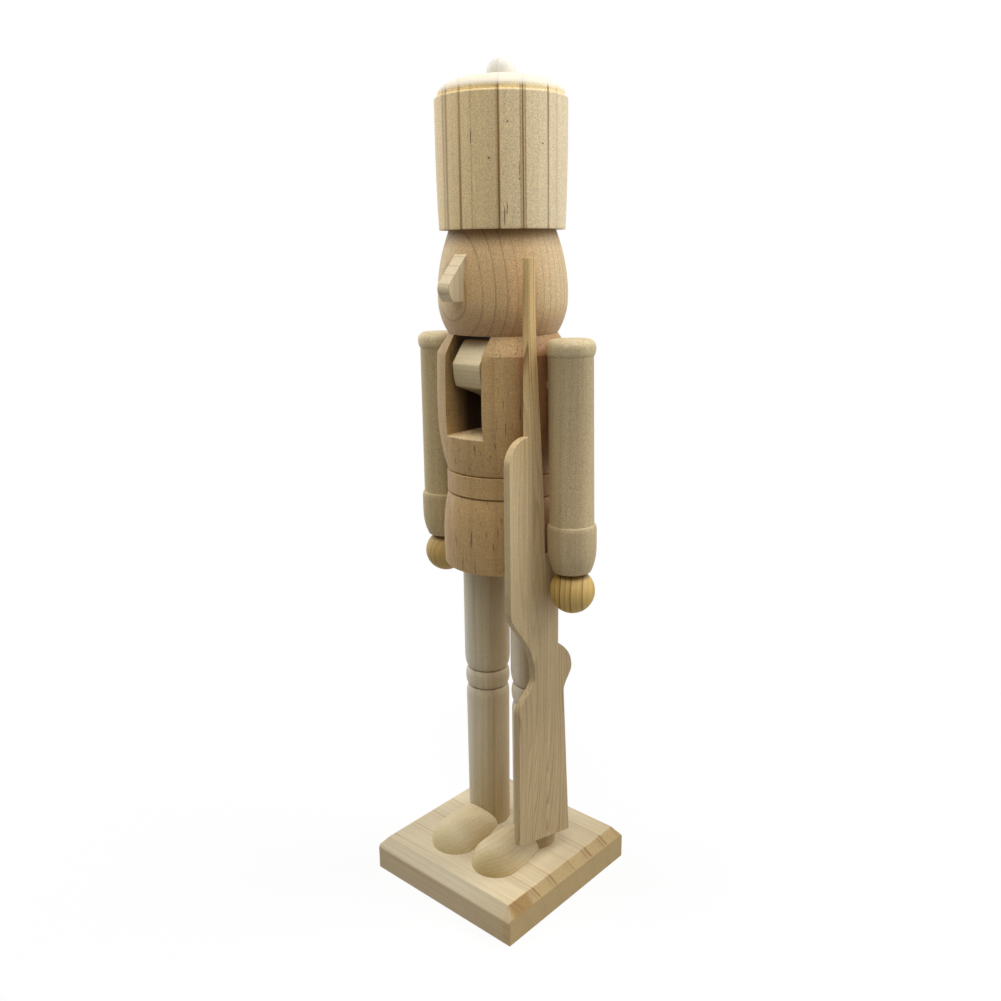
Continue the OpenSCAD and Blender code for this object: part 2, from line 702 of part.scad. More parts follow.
module rifle() {
    color(birch) on_figure() difference() {
        board(rifle_outline(), rifle_t, rifle_in_x);
        cross_peg(peg_r + glue, 0, far, arm_y(1), peg_z);
    }
}

// Dowels
module foot_dowels() {
    color(birch) on_figure() at_legs() translate([0, 0, base_t - foot_dowel_len])
        cylinder(r = leg_dowel_r, h = foot_dowel_len + leg_dowel_len);
}

module hip_dowels() {
    color(birch) on_figure() at_legs() translate([0, 0, hip_z - leg_dowel_len])
        cylinder(r = leg_dowel_r, h = 2 * leg_dowel_len);
}

module neck_dowels() {
    color(birch) on_figure() for (side = [-1, 1]) translate([side * neck_dowel_x, 0, neck_z - neck_dowel_len])
        cylinder(r = neck_dowel_r, h = 2 * neck_dowel_len);
}

module hat_dowel() {
    color(birch) on_figure() translate([0, 0, crown_z - hat_dowel_len])
        cylinder(r = hat_dowel_r, h = 2 * hat_dowel_len);
}

module shoulder_dowel(side) {
    color(birch) on_figure() mirror([side < 0 ? 1 : 0, 0, 0])
        cross_peg(shoulder_dowel_r, chest_r - shoulder_dowel_len, arm_x(side), arm_y(side), shoulder_dowel_z);
}

module right_shoulder_dowel() { shoulder_dowel(-1); }

module left_shoulder_dowel() { shoulder_dowel(1); }

module rifle_peg() {
    color(birch) on_figure() cross_peg(peg_r, rifle_in_x, rifle_out_x + peg_len, arm_y(1), peg_z);
}

base_plate();
right_leg();
left_leg();
right_shoe();
left_shoe();
torso();
jaw_lever();
jaw_pivot_pin();
head();
nose();
hat();
hat_knob();
right_arm();
left_arm();
right_hand();
left_hand();
rifle();
foot_dowels();
hip_dowels();
neck_dowels();
hat_dowel();
right_shoulder_dowel();
left_shoulder_dowel();
rifle_peg();
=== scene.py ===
# %% [markdown]
# A bare wooden nutcracker
#
# The figure is turned on a lathe and sawn from boards, then dowelled and glued, with no paint at all. So
# the whole look is wood: soft edges, growth rings cut at different angles, and a dull sanded surface. The
# CAD frame gives every piece its size and place. This script dresses each piece and lights the figure.

# %% Load the frame
import json
import math

import bmesh
import bpy
from mathutils import Matrix, Vector


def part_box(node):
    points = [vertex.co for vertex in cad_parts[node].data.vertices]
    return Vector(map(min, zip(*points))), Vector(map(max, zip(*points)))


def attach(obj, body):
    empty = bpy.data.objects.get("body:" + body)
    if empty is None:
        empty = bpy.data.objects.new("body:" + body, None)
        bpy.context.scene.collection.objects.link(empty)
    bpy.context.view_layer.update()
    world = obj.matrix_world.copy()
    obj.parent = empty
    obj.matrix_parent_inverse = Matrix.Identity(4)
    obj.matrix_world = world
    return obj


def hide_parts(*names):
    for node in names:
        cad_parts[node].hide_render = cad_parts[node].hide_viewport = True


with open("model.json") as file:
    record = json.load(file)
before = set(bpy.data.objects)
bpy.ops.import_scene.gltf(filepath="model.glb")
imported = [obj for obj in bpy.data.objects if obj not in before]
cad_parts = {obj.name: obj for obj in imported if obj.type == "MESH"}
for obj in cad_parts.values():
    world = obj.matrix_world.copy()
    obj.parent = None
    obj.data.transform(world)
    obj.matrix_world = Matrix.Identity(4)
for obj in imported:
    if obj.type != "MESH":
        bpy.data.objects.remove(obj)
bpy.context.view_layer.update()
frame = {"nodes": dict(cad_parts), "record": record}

# %% [markdown]
# The camera
#
# The photograph was taken from in front and to the figure's left, from a little below the level of its
# hat. A camera can be placed by eye, but turned rings tell exactly how far down it looks, so it is set
# from numbers. They are measured from the figure's own axis, which is the middle of the hat.

# %% Place the camera
MM = 0.001
UP = Vector((0, 0, 1))
ALONG_X = Vector((1, 0, 0))
ALONG_Y = Vector((0, 1, 0))
CAMERA_AZIMUTH = math.radians(41.5)
CAMERA_AWAY = 437.9 * MM
CAMERA_HEIGHT = 313.0 * MM
CAMERA_LENS = 33.87
SENSOR_WIDTH = 36.0
NEAREST_SEEN = 10 * MM
LOOK_DOWN = math.radians(14.81)
LOOK_ASIDE = math.radians(0.27)
LEAN = math.radians(-0.60)


def middle(node):
    """The middle of a CAD node's box."""
    low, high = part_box(node)
    return (low + high) / 2


def add_object(name, data):
    """A new object that shows the data, linked into the scene."""
    made = bpy.data.objects.new(name, data)
    bpy.context.scene.collection.objects.link(made)
    return made


def look_from(azimuth):
    """The level direction in which a viewer at that azimuth looks at the figure."""
    return Vector((-math.sin(azimuth), math.cos(azimuth), 0))


axis = middle("hat") * Vector((1, 1, 0))
toward = -look_from(CAMERA_AZIMUTH + LOOK_ASIDE)
rightward = UP.cross(toward)
ahead = -toward * math.cos(LOOK_DOWN) - UP * math.sin(LOOK_DOWN)
upward = rightward.cross(ahead)
sideways = rightward * math.cos(LEAN) + upward * math.sin(LEAN)
upright = upward * math.cos(LEAN) - rightward * math.sin(LEAN)
stand = axis - look_from(CAMERA_AZIMUTH) * CAMERA_AWAY + UP * CAMERA_HEIGHT

camera = add_object("camera", bpy.data.cameras.new("camera"))
camera.data.lens = CAMERA_LENS
camera.data.sensor_width = SENSOR_WIDTH
camera.data.sensor_fit = "HORIZONTAL"
camera.data.clip_start = NEAREST_SEEN
turned = Matrix((sideways, upright, -ahead)).transposed()
camera.matrix_world = Matrix.Translation(stand) @ turned.to_4x4()
bpy.context.scene.camera = camera
bpy.context.scene.view_settings.view_transform = "Standard"
print("camera at", [round(x, 3) for x in stand])

# %% [markdown]
# Sums on sockets
#
# A wood grain is a formula: distance from the middle of the tree, cut into rings, pulled out along the
# fibres. Written node by node it is hard to read. This small class wraps a socket, so that a formula
# looks like Python: a sum on it adds a Math node, and one method adds any other node. It serves shaders
# and geometry alike.

# %% Wrap sockets for sums


class Wire:
    """An output socket. Sums on it add Math nodes, and node() adds any other node to the same tree."""

    def __init__(self, tree, out=None):
        self.tree = tree
        self.out = out

    def node(self, kind, settings=(), sockets=(), output=0):
        made = self.tree.nodes.new(kind)
        for name, value in dict(settings).items():
            if name == "stops":
                set_stops(made.color_ramp, value)
            else:
                setattr(made, name, value)
        for name, value in dict(sockets).items():
            if isinstance(value, Wire):
                self.tree.links.new(value.out, made.inputs[name])
            else:
                made.inputs[name].default_value = value
        return Wire(self.tree, made.outputs[output])

    def end(self, kind):
        """Link this value to a new output node, which ends the tree."""
        self.tree.links.new(self.out, self.tree.nodes.new(kind).inputs[0])

    def maths(self, operation, *values):
        return self.node("ShaderNodeMath", {"operation": operation}, dict(enumerate(values)))

    def __add__(self, other):
        return self.maths("ADD", self, other)

    def __radd__(self, other):
        return self.maths("ADD", other, self)

    def __sub__(self, other):
        return self.maths("SUBTRACT", self, other)

    def __rsub__(self, other):
        return self.maths("SUBTRACT", other, self)

    def __mul__(self, other):
        return self.maths("MULTIPLY", self, other)

    def __rmul__(self, other):
        return self.maths("MULTIPLY", other, self)

    def __truediv__(self, other):
        return self.maths("DIVIDE", self, other)

    def __pow__(self, other):
        return self.maths("POWER", self, other)

    def dot(self, direction):
        """How far this vector goes along a direction."""
        sockets = {0: self, 1: direction}
        return self.node("ShaderNodeVectorMath", {"operation": "DOT_PRODUCT"}, sockets, "Value")

    def ramp(self, *stops):
        """A grey that follows stops of (place, brightness) as this value grows from 0 to 1."""
        return self.node("ShaderNodeValToRGB", {"stops": stops}, {"Fac": self})

    def blend(self, first, second):
        """A colour that goes from the first to the second as this value grows from 0 to 1."""
        settings = {"data_type": "RGBA", "blend_type": "MIX"}
        return self.node("ShaderNodeMix", settings, {0: self, 6: first, 7: second}, 2)

    def tinted(self, layer):
        """This colour multiplied by another one."""
        settings = {"data_type": "RGBA", "blend_type": "MULTIPLY"}
        return self.node("ShaderNodeMix", settings, {0: 1.0, 6: self, 7: layer}, 2)


def set_stops(ramp, stops):
    while len(ramp.elements) > 1:
        ramp.elements.remove(ramp.elements[-1])
    for i, (place, grey) in enumerate(stops):
        stop = ramp.elements[0] if i == 0 else ramp.elements.new(place)
        stop.position = place
        stop.color = (grey, grey, grey, 1)


print("sums on sockets are ready")

# %% [markdown]
# A blank of wood
#
# On the real figure each piece is cut from its own blank, so its rings run their own way. A picture of
# planks can't follow that, because a lathe cuts through the rings at every angle. Here the wood is solid:
# each point's place in the blank decides its colour. So a Mapping node turns Object coordinates into the
# blank's own, with X across the rings, counted from the pith, and Z along the grain. Most noises are drawn
# out along Z, as fibres are.

# %% Place a blank and its noises
WHITE = (1, 1, 1, 1)
# Each noise has its bumps in a metre across the grain, how many times as many along it, and its detail
NOISES = {"bend": (18, 0.25, 1), "wave": (160, 0.06, 1), "fading": (70, 0.2, 1), "streak": (900, 0.02, 3),
          "fibre": (2600, 0.05, 2), "grit": (2300, 0.8, 1), "patch": (30, 0.3, 2), "ray": (1000, 0.07, 1),
          "tool": (110, 13, 2), "drawn": (3000, 0.02, 2)}


def paint(red, green, blue):
    """A colour given as it looks on screen, as the linear numbers that shaders use."""
    levels = [c / 255 for c in (red, green, blue)]
    return (*[c / 12.92 if c <= 0.04045 else ((c + 0.055) / 1.055) ** 2.4 for c in levels], 1)


def empty_material(name):
    """A material with no nodes yet, and a wire to start them from."""
    material = bpy.data.materials.new(name)
    material.use_nodes = True
    material.node_tree.nodes.clear()
    return material, Wire(material.node_tree)


def blank_place(start, grain, across, centre, pith):
    """Object coordinates, and the same in the blank's own axes. The centre lies that far from the pith."""
    across = (across - grain * across.dot(grain)).normalized()
    rotation = Matrix((across, grain.cross(across), grain))
    shift = Vector((pith, 0, 0)) - rotation @ centre
    place = start.node("ShaderNodeTexCoord", output="Object")
    sockets = {"Vector": place, "Location": shift, "Rotation": rotation.to_euler()}
    return place, start.node("ShaderNodeMapping", {"vector_type": "POINT"}, sockets)


def noise(blank, kind):
    """Noise of one of the kinds at a place in the blank."""
    scale, along, detail = NOISES[kind]
    stretched = blank.node("ShaderNodeVectorMath", {"operation": "MULTIPLY"}, {0: blank, 1: (1, 1, along)})
    return blank.node("ShaderNodeTexNoise", (), {"Vector": stretched, "Scale": scale, "Detail": detail})


print(len(NOISES), "kinds of noise")

# %% [markdown]
# Tints
#
# A blank isn't one colour all over. Its heart is darker, and its colour changes from place to place. Most
# tints here, though, are painted light and shade: sides towards the lamps painted paler, sheen painted on
# edges, and painted shade in corners, under overhangs and on sides turned from the light. Here a tint is a
# direction, two distances along it in millimetres from the figure's axis, or from the floor where it goes up
# or down, and a colour. The wood is multiplied by white before the first distance, by the colour after the
# last, and by something between them on the way.

# %% Measure and tint


def measure(place, direction, origin=axis):
    """How far a place lies from an origin along a direction, in millimetres."""
    moved = place.node("ShaderNodeVectorMath", {"operation": "SUBTRACT"}, {0: place, 1: origin})
    return moved.dot(direction) / MM


def reach(place, direction, first, last):
    """0 up to the first distance along a direction, and 1 from the last on."""
    return ((measure(place, direction) - first) / (last - first)).ramp((0.0, 0.0), (1.0, 1.0))


def within(place, stretches):
    """1 where a place lies past every one of the stretches, each a direction and two distances."""
    shares = [reach(place, *stretch) for stretch in stretches]
    least = shares[0]
    for share in shares[1:]:
        least = place.maths("MINIMUM", least, share)
    return least


def shade(place, direction, first, last, colour):
    """White that changes to a colour between two distances along a direction."""
    return reach(place, direction, first, last).blend(WHITE, (*colour, 1))


def going_down(first, last, colour):
    """A tint that comes in on the way down from one height to another."""
    return -UP, -first, -last, colour


def heights(node):
    """A CAD node's lowest and highest points, in millimetres above the floor."""
    return [corner.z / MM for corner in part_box(node)]


print("the hat goes from", [round(height, 1) for height in heights("hat")], "mm above the floor")

# %% [markdown]
# Bare wood
#
# Distance from the pith gives the years. Each year follows a profile from pale early wood to dark late
# wood, but some years are stronger than others and some lines fade out. Noise stretched along the grain
# gives fibres, and short dark spindles are the rays of beech. A lathe leaves faint marks across the
# grain. End grain drinks light in another way, so faces across the grain get a tint of their own. All of
# it also roughens the surface a bit.

# %% Make a wood
WAVE_SHARE = 0.12
FADING = (0.32, 0.58)
RAY_EDGE = (0.66, 0.71)
RAY_DARKNESS = 0.55
END_FACING = (0.4, 0.7)
GRAIN_DEPTH = 0.25 * MM
GRAIN_STRENGTH = 0.35
# How far each mark of the grain lifts or sinks the surface, as shares of the grain's depth
STREAK_LIFT, LATE_LIFT, TOOL_LIFT, RAY_SINK = 0.5, 0.25, 3, 0.4
DULLNESS, STREAK_DULLING, LATE_POLISH = 0.6, 0.16, 0.06
SHINE = 0.45
woods = {}


def bumps(height, strength, depth):
    """A surface that rises and falls with a height."""
    return height.node("ShaderNodeBump", (), {"Height": height, "Strength": strength, "Distance": depth})


def late_wood(blank, ring, lines, line_share, wander, luck_share, faint):
    """How much late wood there is at a place: a profile for each year, with each year at its own strength."""
    x, y = [blank.node("ShaderNodeSeparateXYZ", (), {"Vector": blank}, i) for i in range(2)]
    from_pith = (x * x + y * y) ** 0.5
    bend = (noise(blank, "bend") - 0.5) * wander
    wave = (noise(blank, "wave") - 0.5) * wander * WAVE_SHARE
    years = (from_pith + bend + wave) / ring
    year = years.maths("FLOOR", years)
    luck = blank.node("ShaderNodeTexWhiteNoise", {"noise_dimensions": "1D"}, {"W": year})
    fading = noise(blank, "fading").ramp((FADING[0], faint), (FADING[1], 1.0))
    return (years - year).ramp(*lines) * (luck * luck_share + (1 - luck_share)) * fading * line_share


def end_shade(place, grain, colour):
    """White that changes to a colour on faces that lie across the grain."""
    facing = place.node("ShaderNodeTexCoord", output="Normal")
    along = facing.maths("ABSOLUTE", facing.dot(grain))
    end = along.ramp((END_FACING[0], 0.0), (END_FACING[1], 1.0))
    return end.blend(WHITE, (*colour, 1))


def wood(name, pale, dark, grain, across, centre, ring, pith, lines, line_share=1.0, wander=4, luck_share=0.6,
         faint=0.45, fibre=0.12, fleck=0.0, mottle=0.08, speckle=0.15, cross_marks=0.0, end_tint=(1, 1, 1),
         tints=(), line_tints=(), grit_tints=(), veils=(), marks=None):
    """A bare wood. A ring's width, the pith's distance and how far rings wander are in millimetres."""
    material, start = empty_material(name)
    place, blank = blank_place(start, grain, across, centre, pith * MM)
    late = late_wood(blank, ring * MM, lines, line_share, wander * MM, luck_share, faint)
    for tint in line_tints:
        late = late * shade(place, *tint)
    grit = (noise(blank, "grit") - 0.5) * speckle
    for tint in grit_tints:
        grit = grit * shade(place, *tint)
    streak = noise(blank, "streak")
    tool = noise(blank, "tool")
    ray = noise(blank, "ray").ramp((RAY_EDGE[0], 0), (RAY_EDGE[1], 1)) * fleck

    tone = 1 + (streak - 0.5) * fibre * 2 + (noise(blank, "fibre") - 0.5) * fibre + grit * 2
    tone = tone + (noise(blank, "patch") - 0.5) * mottle * 2 + (tool - 0.5) * cross_marks * 2
    tone = tone * (1 - ray * RAY_DARKNESS)
    grey = tone.node("ShaderNodeCombineColor", (), {"Red": tone, "Green": tone, "Blue": tone})
    layers = [grey, end_shade(place, grain, end_tint)] + [shade(place, *tint) for tint in tints]
    if marks:
        layers.append(marks(place))
    colour = late.blend(pale, dark)
    for layer in layers:
        colour = colour.tinted(layer)
    for direction, first, last, veil, share in veils:
        colour = (reach(place, direction, first, last) * share).blend(colour, veil)

    height = streak * STREAK_LIFT + grit + late * LATE_LIFT - ray * RAY_SINK + tool * cross_marks * TOOL_LIFT
    dull = DULLNESS + (streak - 0.5) * STREAK_DULLING - late * LATE_POLISH
    sockets = {"Base Color": colour, "Roughness": dull, "Specular IOR Level": SHINE,
               "Normal": bumps(height, GRAIN_STRENGTH, GRAIN_DEPTH)}
    start.node("ShaderNodeBsdfPrincipled", (), sockets).end("ShaderNodeOutputMaterial")
    woods[name] = material
    print("wood", name, len(start.tree.nodes), "nodes")


# %% [markdown]
# Profiles of a year
#
# A year's ring starts pale in spring and ends in a line of late wood. How it gets dark differs between
# woods: slowly in beech, birch and basswood, but with a hard line in lime and in most of the pine, or with
# two of them in the base board. A profile is a list of stops: the share of the year that has passed, and
# how much late wood there is then.

# %% List the profiles
SOFT = ((0.0, 0.0), (0.45, 0.15), (0.88, 1.0), (1.0, 0.0))
CRISP = ((0.0, 0.0), (0.55, 0.06), (0.82, 0.2), (0.93, 1.0), (0.985, 1.0), (1.0, 0.0))
THIN = ((0.0, 0.0), (0.6, 0.03), (0.84, 0.15), (0.91, 1.0), (0.95, 1.0), (1.0, 0.0))
SLOPED = ((0.0, 0.0), (0.3, 0.08), (0.7, 0.42), (0.88, 1.0), (0.97, 1.0), (1.0, 0.0))
PAIRS = ((0.0, 0.0), (0.5, 0.05), (0.68, 0.2), (0.73, 0.9), (0.77, 0.2),
         (0.84, 0.2), (0.89, 1.0), (0.94, 1.0), (0.97, 0.0))
print("profiles of", [len(profile) for profile in (SOFT, CRISP, THIN, SLOPED, PAIRS)], "stops")

# %% [markdown]
# The hat's pine
#
# The hat is wide-ringed pine with its rings edge on, so dark lines run straight up it and over its dome.
# No two years of it are alike, so one long profile, as wide as the hat, holds every line from its left
# side to its right. The blank also has blemishes that no formula gives: pin knots, and a short crack in
# front. They are small ovals, placed by their distance from the middle line and their height above the
# brim. The dome is sanded end grain and almost white, and the pale veil over it is that and also painted
# light from above. The hat's right side is painted paler as sheen, and a painted highlight lies on the
# rim's ledge and the dome above it.

# %% Make the hat's pine
HAT_WIDTH = 60.0
HAT_WIDTHS_TO_PITH = 50.5
# Distance from the middle line in millimetres, and how much late wood there is
HAT_LINES = ((-25.2, 0.0), (-24.6, 0.5), (-24.0, 0.1), (-23.3, 0.7), (-22.7, 0.0),
             (-18.6, 0.05), (-17.7, 0.8), (-17.0, 0.0), (-13.4, 0.0), (-13.0, 0.35), (-12.6, 0.05),
             (-9.5, 0.03), (-3.0, 0.13), (-1.9, 0.4), (-1.2, 1.0), (-0.5, 0.0),
             (7.6, 0.0), (8.1, 0.6), (8.5, 0.1), (9.1, 1.0), (9.6, 0.1), (10.1, 0.6), (10.6, 0.0),
             (19.2, 0.04), (19.8, 1.0), (20.3, 0.0), (23.0, 0.05), (23.6, 0.25), (24.2, 0.0))
# Distance from the middle line, height above the brim, half width and half height in millimetres
PIN_KNOTS = {"upper": (2.4, 41.8, 0.5, 0.55), "right": (17.0, 33.8, 0.5, 0.5), "soft": (-5.4, 27.9, 0.7, 0.6),
             "lower": (7.2, 19.6, 0.4, 0.5), "tail": (7.2, 23.5, 0.2, 4.0), "crack": (-12.8, 36.5, 0.3, 3.0),
             "streak": (0.9, 5.0, 0.35, 4.5), "fork": (2.0, 8.0, 0.25, 3.0)}
KNOT_BROWN = paint(104, 66, 34)
KNOT_CORE = 0.45
KNOT_DARKNESS = 0.75
brim, hat_top = heights("hat")
hat_profile = [(mm / HAT_WIDTH + 0.5, strength) for mm, strength in HAT_LINES]


def pin_knots(place):
    """White, with the hat's small blemishes in brown on the side that faces the camera."""
    beside = measure(place, rightward)
    above = measure(place, UP) - brim
    front = place.maths("GREATER_THAN", measure(place, toward), 0)
    dark = 0.0
    for across_mm, up_mm, wide, tall in PIN_KNOTS.values():
        away = ((beside - across_mm) / wide) ** 2 + ((above - up_mm) / tall) ** 2
        dark = place.maths("MAXIMUM", dark, away.ramp((KNOT_CORE, 1.0), (1.0, 0.0)))
    return (dark * front * KNOT_DARKNESS).blend(WHITE, KNOT_BROWN)


# Painted light: the first tint pales the hat's right side as sheen, the second paints a highlight on the
# rim's ledge and the dome, and the veil is partly the dome's pale end grain and partly painted light from
# above.
wood("hat_pine", paint(232, 206, 155), paint(126, 88, 24), grain=UP, across=rightward, centre=middle("hat"),
     ring=HAT_WIDTH, pith=HAT_WIDTHS_TO_PITH * HAT_WIDTH, lines=hat_profile, line_share=1.35, wander=3,
     luck_share=0.0, faint=0.7, mottle=0.06, speckle=0.55, marks=pin_knots,
     tints=((rightward, -8, 26, (0.98, 1.06, 1.30)),
            (UP, hat_top - 9.4, hat_top - 8.9, (1.15, 1.15, 1.0))),
     veils=((UP, hat_top - 8, hat_top - 6.2, paint(236, 226, 209), 0.85),))

# %% [markdown]
# The head's lime and the nose's pine
#
# The head's rings face a bit to the left of the viewer, so its round shape cuts them into arches about
# the nose. Its two sides are painted paler, as the sheen of the light tent on them, its top is painted dark
# as the shadow of the hat's brim, and its bottom gets painted shade. The nose is a wedge sawn from pine
# with harder lines.

# %% Make the wood of the head and the nose
# Painted light: both sides of the head get the sheen of the tent. The later tints are the painted shadow of
# the hat's brim on the top, and painted shade on the bottom.
HEAD_EDGE_LIGHT = (1.03, 1.16, 1.35)
head_low, head_high = heights("head")
wood("head_lime", paint(208, 173, 122), paint(108, 70, 36), grain=UP, across=toward - rightward * 1.3,
     centre=middle("head"), ring=3.7, pith=300.74, lines=THIN, line_share=0.52, luck_share=0.5, mottle=0.14,
     speckle=0.6, cross_marks=0.05,
     tints=((rightward, 8, 26, HEAD_EDGE_LIGHT),
            (-rightward, 14, 28, HEAD_EDGE_LIGHT),
            (UP, head_high - 8, head_high, (0.45, 0.41, 0.36)),
            going_down(head_low + 14, head_low + 4, (0.80, 0.73, 0.71))))
wood("nose_pine", paint(224, 205, 167), paint(148, 112, 72), grain=UP, across=ALONG_Y, centre=middle("nose"),
     ring=3.4, pith=80.5, lines=CRISP, line_share=0.6, wander=3, speckle=0.3)

# %% [markdown]
# The torso's beech
#
# Beech is known by its rays, and this piece has many of them, with marks of the tool across it. Little
# light gets into the mouth slot. Lamps that light the whole figure don't show that well enough, so painted
# shade darkens the slot's walls towards its middle. Its floor is painted pale as light from above, and its
# back is open to light. Painted shade also lies from the belt down and on both flanks of the chest, beside
# the rifle and beside the right arm.

# %% Make the torso's beech
SLOT_HALF = 10.7
SLOT_FLOOR = 232.2
FLOOR_BELOW, FLOOR_ABOVE = 0.4, 0.5
FROM_FRONT = (ALONG_Y, -29, -15)
FROM_BACK = (-ALONG_Y, -30, -10)
BACK_DARKNESS = 0.1
# The slot floor's painted light, and the painted shade of the slot's walls
SLOT_FLOOR_LIGHT = (1.6, 1.85, 2.5, 1)
SLOT_PAINTED_SHADE = paint(74, 58, 42)


def slot_shade(place):
    """White, with painted shade towards the middle of the mouth slot, and painted light on its floor."""
    beside = measure(place, ALONG_X, middle("jaw_lever"))
    inside = place.maths("LESS_THAN", place.maths("ABSOLUTE", beside), SLOT_HALF)
    height = measure(place, UP)
    wall = place.maths("GREATER_THAN", height, SLOT_FLOOR + FLOOR_ABOVE)
    chest = place.maths("LESS_THAN", height, SLOT_FLOOR - FLOOR_BELOW)
    floor_painted_light = (inside * (1 - wall) * (1 - chest)).blend(WHITE, SLOT_FLOOR_LIGHT)
    far_from_back = reach(place, *FROM_BACK) * (1 - BACK_DARKNESS) + BACK_DARKNESS
    deep = place.maths("MINIMUM", reach(place, *FROM_FRONT), far_from_back)
    return (deep * inside * wall).blend(floor_painted_light, SLOT_PAINTED_SHADE)


# The tints are painted shade: from the belt down, on the chest's left flank beside the rifle, and high on its
# right flank beside the arm.
wood("torso_beech", paint(193, 159, 106), paint(170, 132, 84), grain=UP, across=rightward,
     centre=middle("torso"), ring=6, pith=120, lines=SOFT, line_share=0.6, wander=5, fleck=1.0, mottle=0.10,
     speckle=0.55, cross_marks=0.14, marks=slot_shade,
     tints=(going_down(225, 212, (0.88, 0.87, 0.87)),
            (ALONG_X, 20, 29, (0.62, 0.44, 0.36)),
            (UP * 0.3 - ALONG_X, 80, 90, (0.70, 0.68, 0.53))))

# %% [markdown]
# The limbs' basswood
#
# Arms and legs are basswood, which hardly shows its rings. What tells them apart is broad changes of
# colour, most of them painted light and shade. Each leg is painted pale on its side towards the light and
# dark on its side in shade, so the legs go from pale to dark from left to right, each by itself, and the
# shins are painted darker towards the shoes as shade. The arms are yellower and have more grit, and the
# right arm is also painted darker as shade. The caps of the shoulders are painted pale as light from
# above. A thin line of shade lies in the groove above and below each knee ring.

# %% Make the limbs' basswood
LEFT_ARM = (ALONG_X, 28, 30)
RIGHT_ARM = (-ALONG_X, 28, 30)
LEFT_HALF = (ALONG_X, -1, 1)
ARM_GRIT = (2.6, 2.6, 2.6)
KNEE_LOW, KNEE_HIGH = 96.5, 106.3
GROOVE_DARK = (0.55, 0.5, 0.45)
GROOVE_CORE, GROOVE_EDGE = 0.2, 0.7
arm_top = heights("left_arm")[1]


def groove(height):
    """Two tints that darken a thin line at a height: one goes dark, and one brings the colour back."""
    back = [1 / part for part in GROOVE_DARK]
    return ((UP, height - GROOVE_EDGE, height - GROOVE_CORE, GROOVE_DARK),
            (UP, height + GROOVE_CORE, height + GROOVE_EDGE, back))


# Painted light and shade: the tints pale each leg's lit side and shade its other side, shade the shins and
# the right arm, and light the shoulder caps, as does the paler end-grain tint.
wood("limb_basswood", paint(206, 190, 156), paint(182, 162, 126), grain=UP, across=rightward,
     centre=middle("torso"), ring=9, pith=150, lines=SOFT, line_share=0.7, wander=6, fibre=0.2, mottle=0.10,
     speckle=0.2, cross_marks=0.06, end_tint=(1.1, 1.12, 1.15),
     grit_tints=((*LEFT_ARM, ARM_GRIT), (*RIGHT_ARM, ARM_GRIT)),
     tints=((rightward, -10, 2, (0.80, 0.74, 0.67)),
            (*LEFT_HALF, (1.45, 1.66, 2.1)),
            (rightward, 4, 11, (0.69, 0.60, 0.476)),
            (*LEFT_ARM, (1.0, 1.0, 0.935)),
            going_down(75, 30, (0.87, 0.82, 0.72)),
            (-rightward, 13, 20, (1.15, 1.28, 1.55)),
            (*RIGHT_ARM, (0.68, 0.57, 0.37)),
            (UP, arm_top - 9, arm_top - 6, (1.2, 1.25, 1.3)),
            (UP - ALONG_X * 0.2, arm_top - 1.4, arm_top + 1.6, (1.12, 1.13, 1.28)),
            *groove(KNEE_LOW), *groove(KNEE_HIGH)))

# %% [markdown]
# The jaw's basswood and the hands' pine
#
# The jaw's grain runs from front to back, so the chin shows end grain. Its top catches the light, its front
# gets painted shade, and the slope under it darker painted shade still. The hands are balls of yellow pine,
# with rings close together and edge on. Each gets a painted shadow of its cuff just below it. The left cuff
# ends a bit lower than the right one, so that tint's line slopes.

# %% Make the wood of the jaw and the hands
UNDER_CHIN = (ALONG_Y - UP * 0.5, -152.4, -147.0)
AHEAD_OF_PIN = (-ALONG_Y, 0.0, 6.0)
CHIN_PAINTED_SHADE = (0.42, 0.40, 0.38, 1)
CUFF_SLOPE = UP + ALONG_X * 0.018
cuff_end = (heights("left_arm")[0] + heights("right_arm")[0]) / 2


def chin_shade(place):
    """White, with painted shade on the slope under the chin, but not on the lever behind it."""
    return within(place, (UNDER_CHIN, AHEAD_OF_PIN)).blend(WHITE, CHIN_PAINTED_SHADE)


# Painted shade on the chin's front, and chin_shade paints shade on the slope under it.
wood("jaw_basswood", paint(226, 207, 166), paint(198, 174, 128), grain=ALONG_Y, across=UP,
     centre=middle("jaw_lever"), ring=1.8, pith=80, lines=SOFT, line_share=0.5, wander=2, marks=chin_shade,
     tints=(going_down(266, 262, (0.73, 0.71, 0.65)),))
# The first tint is the cuff's painted shadow on the top of each hand.
wood("hand_yellow_pine", paint(206, 172, 98), paint(114, 80, 28), grain=UP, across=rightward,
     centre=middle("left_hand"), ring=2.5, pith=45, lines=SLOPED, line_share=0.95, luck_share=0.8,
     tints=((CUFF_SLOPE, cuff_end - 2.8, cuff_end - 1.4, (0.42, 0.36, 0.30)),
            (*RIGHT_ARM, (0.86, 0.86, 0.86))))

# %% [markdown]
# The rifle's birch
#
# The rifle is sawn from one thin board, which changes along its length: the barrel is yellow with strong
# lines, the stock has faint ones and gets darker downwards, and the butt is a bit paler again, where the
# lines come back. The grain isn't straight, so its rings wander far. The board's narrow front edge gets
# painted shade, darker than its face.

# %% Make the rifle's birch
rifle_front = (axis.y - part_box("rifle")[0].y) / MM
